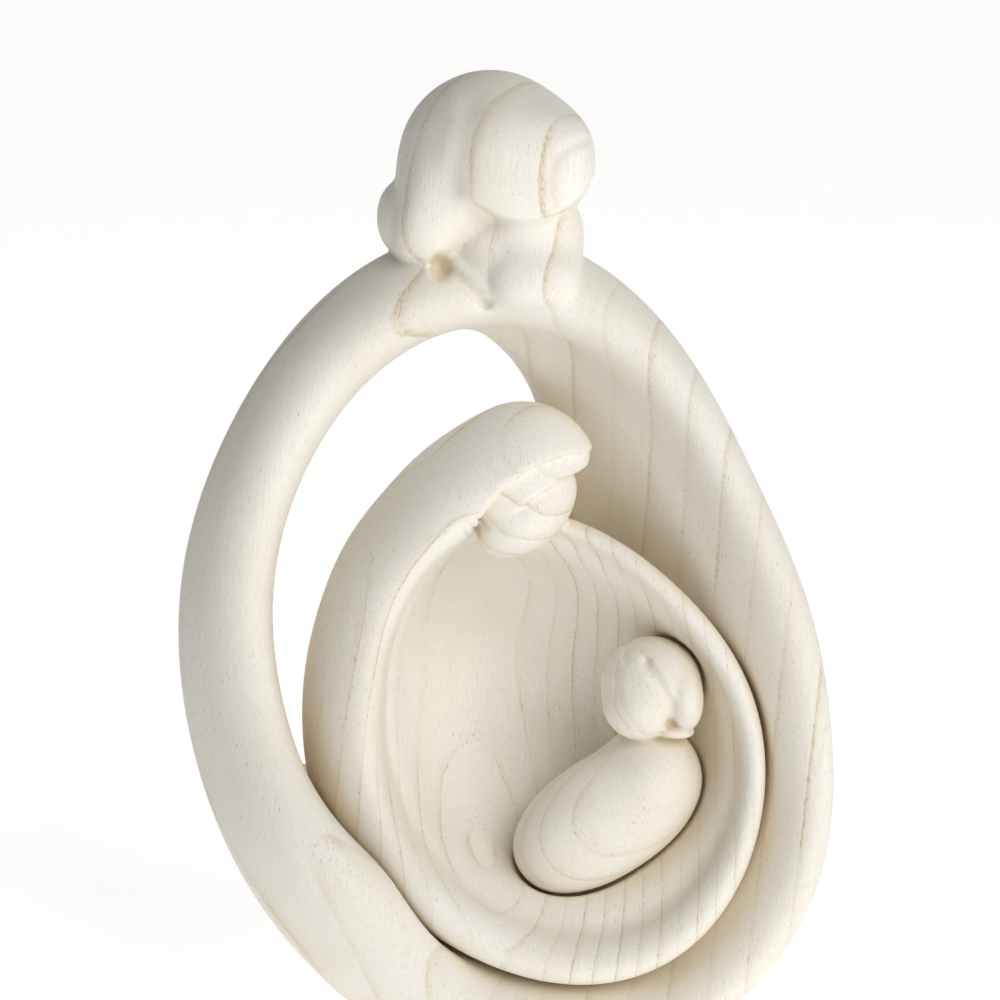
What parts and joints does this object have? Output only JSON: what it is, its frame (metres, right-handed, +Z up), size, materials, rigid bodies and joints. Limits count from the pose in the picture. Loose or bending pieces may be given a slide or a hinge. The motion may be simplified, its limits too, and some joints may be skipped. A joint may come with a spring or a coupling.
{
  "type": "holy family statue",
  "caption": "Pale ash carving of the Holy Family: Joseph's arms form an upright ring with a window, Mary nests in it as an open bowl, and the Child lies in her bowl.",
  "frame": {"origin": "middle of the whole group's box on the surface that it stands on", "axes": "+Z up, +X to the right of a viewer who faces the group, +Y away from that viewer, so the open side faces -Y"},
  "size_m": [0.1335, 0.0676, 0.2],
  "materials": {
    "ash_joseph": "sanded, unvarnished",
    "ash_mary": "sanded, unvarnished",
    "ash_child": "sanded, unvarnished"
  },
  "bodies": {
    "root": {"joseph": "ash_joseph", "mary": "ash_mary", "child": "ash_child"}
  },
  "joints": []
}
